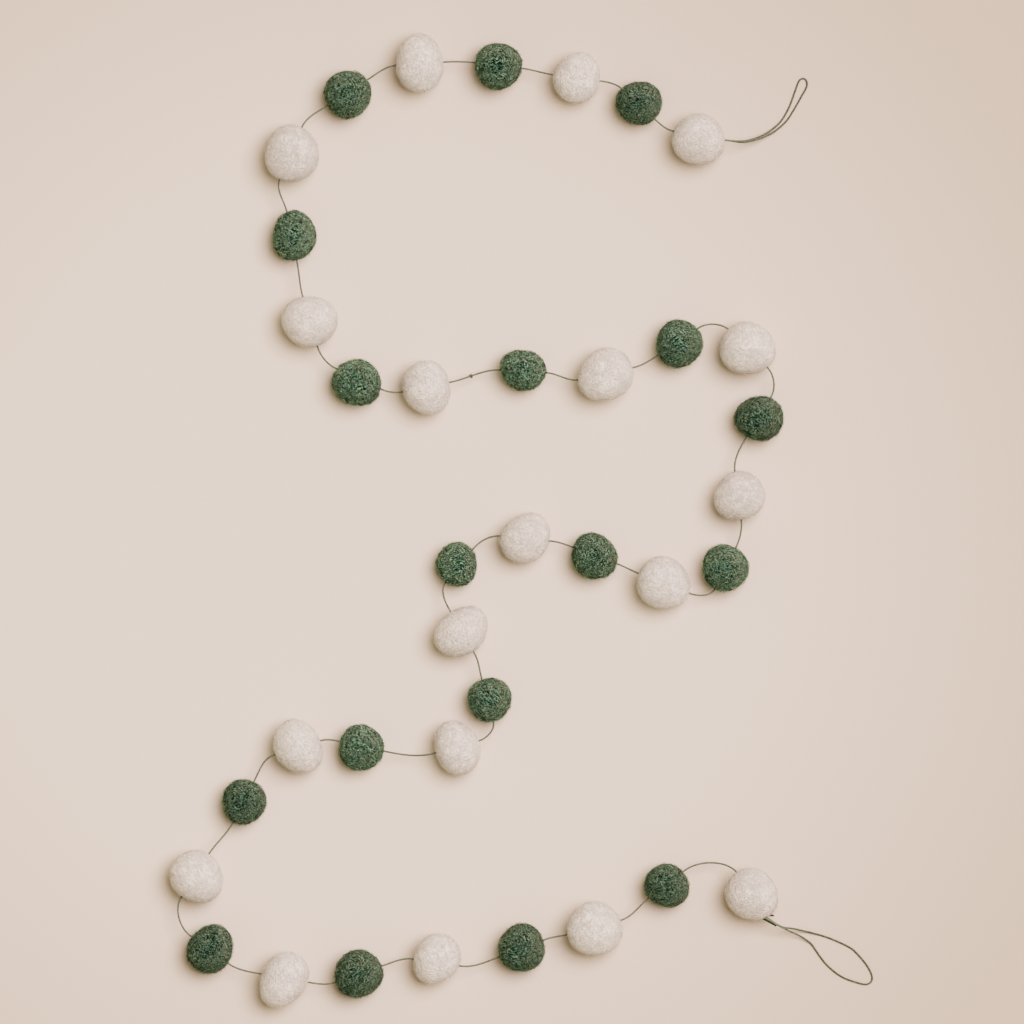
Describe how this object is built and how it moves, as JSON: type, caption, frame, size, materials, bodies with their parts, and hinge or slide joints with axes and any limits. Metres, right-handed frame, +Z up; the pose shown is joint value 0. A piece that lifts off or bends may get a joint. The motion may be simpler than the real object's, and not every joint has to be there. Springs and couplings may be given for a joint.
{
  "type": "felt ball garland",
  "caption": "Garland of cream and dark green felted wool balls threaded on one thin string, lying in loose curves, with a hanging loop at each end.",
  "frame": {"origin": "bottom centre of the box round the balls, on the surface that they rest on", "axes": "+Z up from the surface, +Y from the lower end loop's side to the upper one's, +X to the side on which both end loops lie"},
  "size_m": [0.3523, 0.4882, 0.0263],
  "materials": {
    "cream_felt": "matte felted wool",
    "green_felt": "matte felted wool, mottled with paler fibres",
    "green_string": "matte twisted thread"
  },
  "bodies": {
    "root": {"cream_ball_01": "cream_felt", "green_ball_02": "green_felt", "cream_ball_03": "cream_felt", "green_ball_04": "green_felt", "cream_ball_05": "cream_felt", "green_ball_06": "green_felt", "cream_ball_07": "cream_felt", "green_ball_08": "green_felt", "cream_ball_09": "cream_felt", "green_ball_10": "green_felt", "cream_ball_11": "cream_felt", "green_ball_12": "green_felt", "cream_ball_13": "cream_felt", "green_ball_14": "green_felt", "cream_ball_15": "cream_felt", "green_ball_16": "green_felt", "cream_ball_17": "cream_felt", "green_ball_18": "green_felt", "cream_ball_19": "cream_felt", "green_ball_20": "green_felt", "cream_ball_21": "cream_felt", "green_ball_22": "green_felt", "cream_ball_23": "cream_felt", "green_ball_24": "green_felt", "cream_ball_25": "cream_felt", "green_ball_26": "green_felt", "cream_ball_27": "cream_felt", "green_ball_28": "green_felt", "cream_ball_29": "cream_felt", "green_ball_30": "green_felt", "cream_ball_31": "cream_felt", "green_ball_32": "green_felt", "cream_ball_33": "cream_felt", "green_ball_34": "green_felt", "cream_ball_35": "cream_felt", "green_ball_36": "green_felt", "cream_ball_37": "cream_felt", "string": "green_string", "string_tail_long": "green_string", "string_tail_short": "green_string"}
  },
  "joints": []
}
